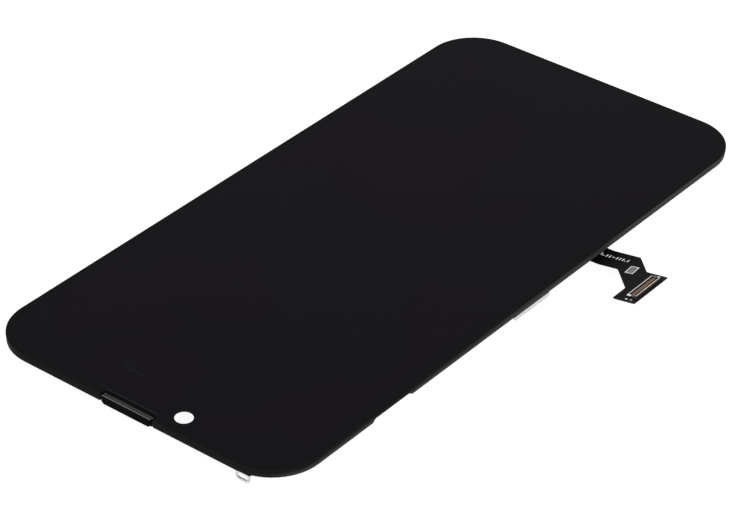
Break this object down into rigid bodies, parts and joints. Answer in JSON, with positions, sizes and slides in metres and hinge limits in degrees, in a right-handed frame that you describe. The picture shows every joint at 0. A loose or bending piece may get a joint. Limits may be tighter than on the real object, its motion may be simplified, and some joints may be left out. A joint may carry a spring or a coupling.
{
  "type": "phone lcd screen assembly",
  "caption": "Flat glass-fronted phone display module: bezel with steel catches, display cell, backlight, rear plate and a flex tail with a board connector.",
  "frame": {"origin": "on the flat rear face, under the middle of the cover glass", "axes": "+Z out of the screen, +Y to the earpiece end, +X so that the flex tail leaves on the -X side"},
  "size_m": [0.085, 0.1441, 0.0045],
  "materials": {
    "cover_glass": "black-printed cover glass, polished",
    "clear_adhesive": "optically clear adhesive",
    "polariser": "dark polarising film",
    "cell_glass": "thin display glass",
    "optical_film": "translucent film",
    "light_guide": "clear light guide",
    "reflector": "silver-white reflector film",
    "white_plastic": "white moulded frame",
    "led_board": "white circuit strip",
    "led": "diode packages",
    "steel": "rolled steel sheet",
    "latch_steel": "bright stamped steel",
    "mesh_steel": "grey steel mesh",
    "felt": "black felt",
    "bezel_plastic": "black moulded plastic",
    "adhesive": "black adhesive",
    "foam": "black foam",
    "graphite": "graphite film",
    "chip": "silicon chip",
    "flex": "black flexible circuit",
    "stiffener": "thin steel stiffener",
    "connector_plastic": "black connector housing",
    "tinned": "tin-plated shell",
    "gold": "gold-plated contacts"
  },
  "bodies": {
    "root": {"cover_glass": "cover_glass", "clear_adhesive": "clear_adhesive", "front_polariser": "polariser", "colour_filter_glass": "cell_glass", "tft_glass": "cell_glass", "rear_polariser": "polariser", "driver_chip": "chip", "rim_tape": "adhesive", "upper_prism_film": "optical_film", "lower_prism_film": "optical_film", "diffuser_film": "optical_film", "light_guide": "light_guide", "reflector_film": "reflector", "light_frame": "white_plastic", "led_strip": "led_board", "leds": "led", "backlight_tray": "steel", "glass_bead": "adhesive", "bezel_frame": "bezel_plastic", "earpiece_mesh": "mesh_steel", "dust_felt": "felt", "rear_plate": "steel", "rear_foam": "foam", "graphite_film": "graphite", "latch_loop": "latch_steel", "latch_plate_left": "latch_steel", "latch_plate_right": "latch_steel", "screw_tab_left": "latch_steel", "screw_tab_right": "latch_steel", "display_flex": "flex", "foot_stiffener": "stiffener", "connector_housing": "connector_plastic", "connector_shell": "tinned", "contacts_inner": "gold", "contacts_outer": "gold"}
  },
  "joints": []
}
